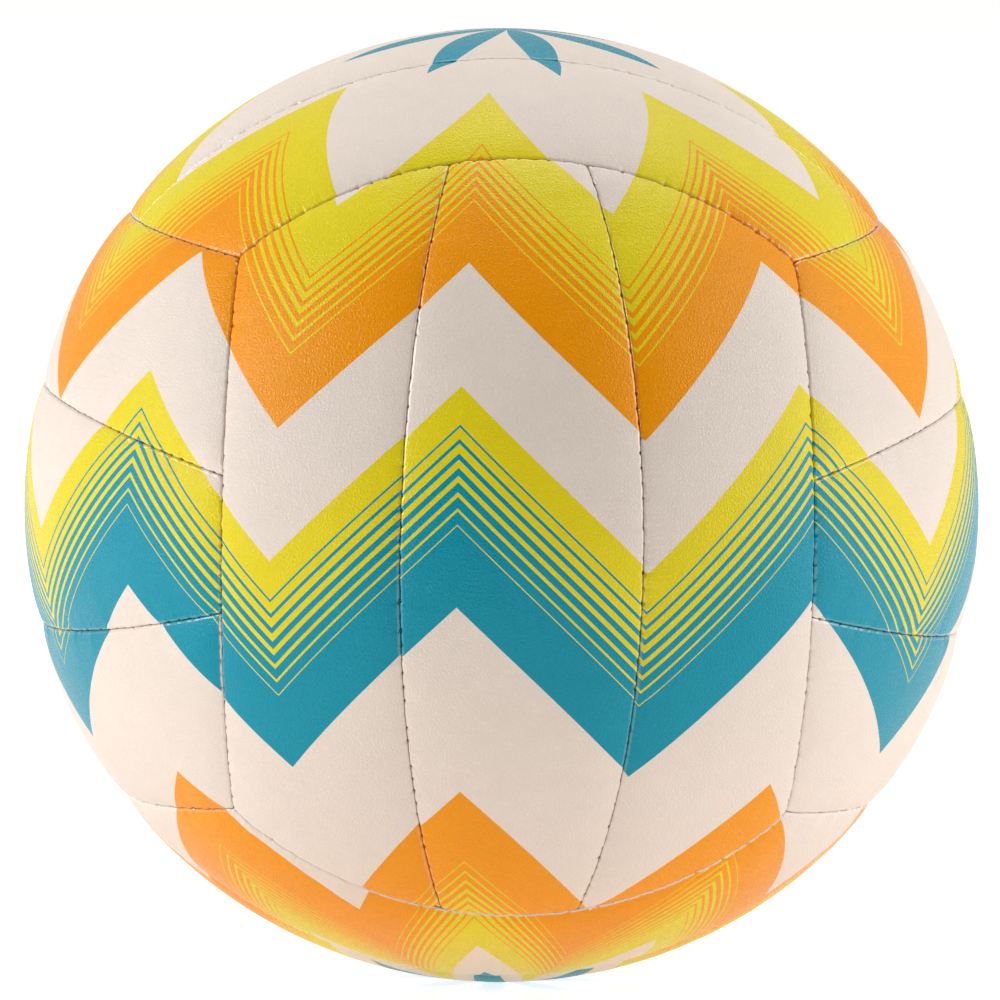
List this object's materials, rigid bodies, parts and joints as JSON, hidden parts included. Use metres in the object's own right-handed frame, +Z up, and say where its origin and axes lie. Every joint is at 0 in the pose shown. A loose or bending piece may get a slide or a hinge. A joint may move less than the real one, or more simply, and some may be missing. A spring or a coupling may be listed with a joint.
{
  "type": "volleyball",
  "caption": "Stitched soft-touch volleyball of strip panels over foam pads and cloth linings, with a bladder and a needle valve.",
  "frame": {"origin": "centre of the ball", "axes": "+Y out along the valve, +Z up through the middle of the top panel, front panels face -Y with their strips upright"},
  "size_m": [0.2132, 0.2132, 0.2132],
  "materials": {
    "cover": "matte pebbled synthetic leather, printed",
    "foam": "closed-cell foam",
    "lining": "plain woven cloth",
    "bladder": "dusted butyl rubber",
    "valve_body": "moulded rubber, satin",
    "valve_core": "soft rubber, satin",
    "valve_patch": "rubberised canvas",
    "thread": "waxed polyester"
  },
  "bodies": {
    "root": {"front_left_cover": "cover", "front_left_pad": "foam", "front_left_lining": "lining", "front_middle_cover": "cover", "front_middle_pad": "foam", "front_middle_lining": "lining", "front_right_cover": "cover", "front_right_pad": "foam", "front_right_lining": "lining", "back_left_cover": "cover", "back_left_pad": "foam", "back_left_lining": "lining", "back_middle_cover": "cover", "back_middle_pad": "foam", "back_middle_lining": "lining", "back_right_cover": "cover", "back_right_pad": "foam", "back_right_lining": "lining", "left_lower_cover": "cover", "left_lower_pad": "foam", "left_lower_lining": "lining", "left_middle_cover": "cover", "left_middle_pad": "foam", "left_middle_lining": "lining", "left_upper_cover": "cover", "left_upper_pad": "foam", "left_upper_lining": "lining", "right_lower_cover": "cover", "right_lower_pad": "foam", "right_lower_lining": "lining", "right_middle_cover": "cover", "right_middle_pad": "foam", "right_middle_lining": "lining", "right_upper_cover": "cover", "right_upper_pad": "foam", "right_upper_lining": "lining", "top_front_cover": "cover", "top_front_pad": "foam", "top_front_lining": "lining", "top_middle_cover": "cover", "top_middle_pad": "foam", "top_middle_lining": "lining", "top_back_cover": "cover", "top_back_pad": "foam", "top_back_lining": "lining", "bottom_front_cover": "cover", "bottom_front_pad": "foam", "bottom_front_lining": "lining", "bottom_middle_cover": "cover", "bottom_middle_pad": "foam", "bottom_middle_lining": "lining", "bottom_back_cover": "cover", "bottom_back_pad": "foam", "bottom_back_lining": "lining", "bladder": "bladder", "valve_body": "valve_body", "valve_core": "valve_core", "valve_patch": "valve_patch", "face_seam_threads": "thread", "strip_seam_threads": "thread"}
  },
  "joints": []
}
